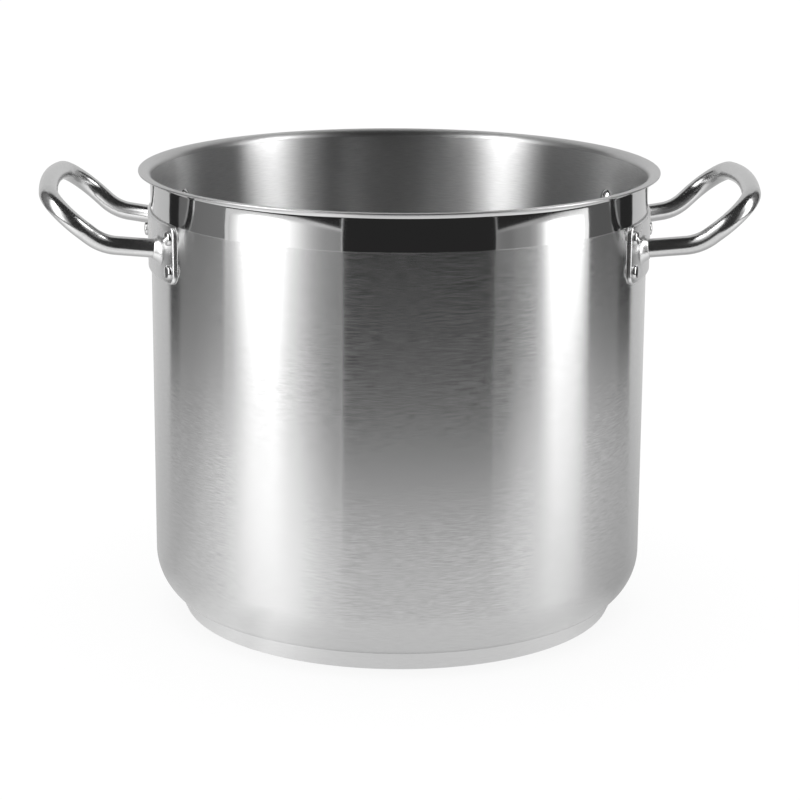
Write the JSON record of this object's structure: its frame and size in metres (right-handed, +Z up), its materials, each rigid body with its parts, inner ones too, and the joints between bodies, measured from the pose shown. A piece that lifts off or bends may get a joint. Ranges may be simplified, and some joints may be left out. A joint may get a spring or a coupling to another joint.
{
  "type": "stock pot",
  "caption": "Deep cylindrical steel stock pot with a flat pouring rim, a capped sandwich base and bent-tube side handles held by riveted brackets.",
  "frame": {"origin": "middle of the flat face that the pot stands on", "axes": "+Z up along the pot's axis, +X out through the right-hand handle, -Y towards the front"},
  "size_m": [0.462, 0.3373, 0.2937],
  "materials": {
    "body_steel": "satin brushed round the wall, polished rim band",
    "core_aluminium": "matte",
    "cap_steel": "fine matte brushed",
    "bracket_steel": "polished",
    "handle_steel": "polished",
    "rivet_steel": "polished"
  },
  "bodies": {
    "root": {"pot_body": "body_steel", "base_core": "core_aluminium", "base_cap": "cap_steel", "right_bracket": "bracket_steel", "left_bracket": "bracket_steel", "right_handle": "handle_steel", "left_handle": "handle_steel", "right_rivet_front_upper": "rivet_steel", "right_rivet_front_lower": "rivet_steel", "right_rivet_middle": "rivet_steel", "right_rivet_rear_upper": "rivet_steel", "right_rivet_rear_lower": "rivet_steel", "left_rivet_front_upper": "rivet_steel", "left_rivet_front_lower": "rivet_steel", "left_rivet_middle": "rivet_steel", "left_rivet_rear_upper": "rivet_steel", "left_rivet_rear_lower": "rivet_steel"}
  },
  "joints": []
}
